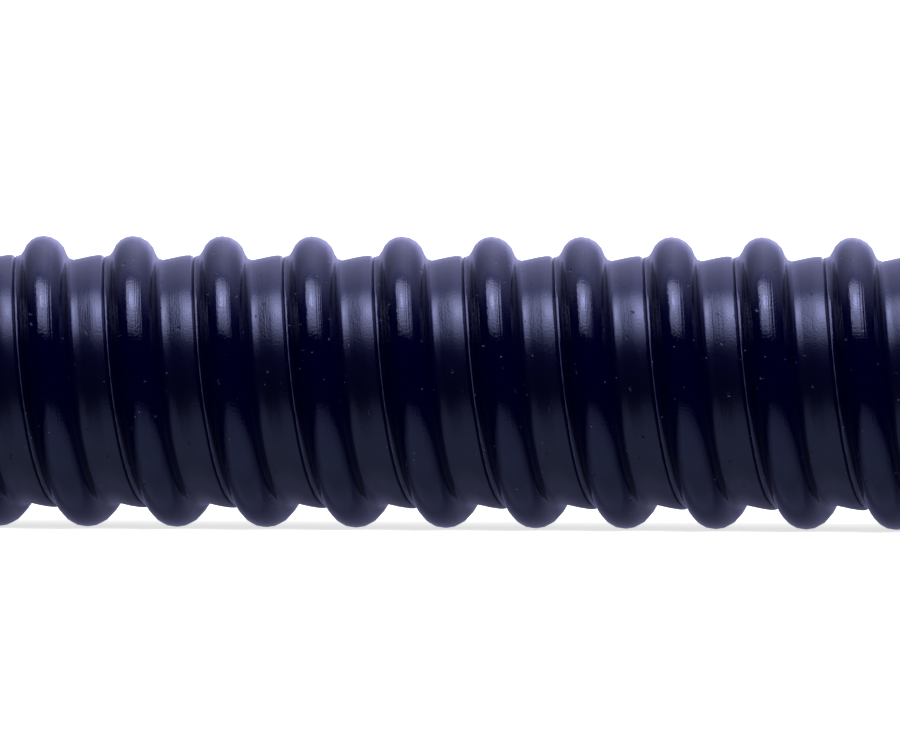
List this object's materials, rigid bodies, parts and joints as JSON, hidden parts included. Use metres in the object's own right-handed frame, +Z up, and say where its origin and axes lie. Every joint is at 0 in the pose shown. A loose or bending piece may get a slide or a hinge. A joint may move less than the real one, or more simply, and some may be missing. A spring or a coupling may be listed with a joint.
{
  "type": "corrugated conduit",
  "caption": "Smooth-bored plastic cable conduit, cut square at both ends, with a half-round rib wound round it as a right-hand screw and a lapped seam beside the rib.",
  "frame": {"origin": "centre of the bore, halfway along the length", "axes": "+X along the bore axis, +Z up as the length lies on a floor; the rib winds as a right-hand screw about X"},
  "size_m": [1, 0.032, 0.032],
  "materials": {
    "conduit_wall": "gloss"
  },
  "bodies": {
    "root": {"conduit": "conduit_wall"}
  },
  "joints": []
}
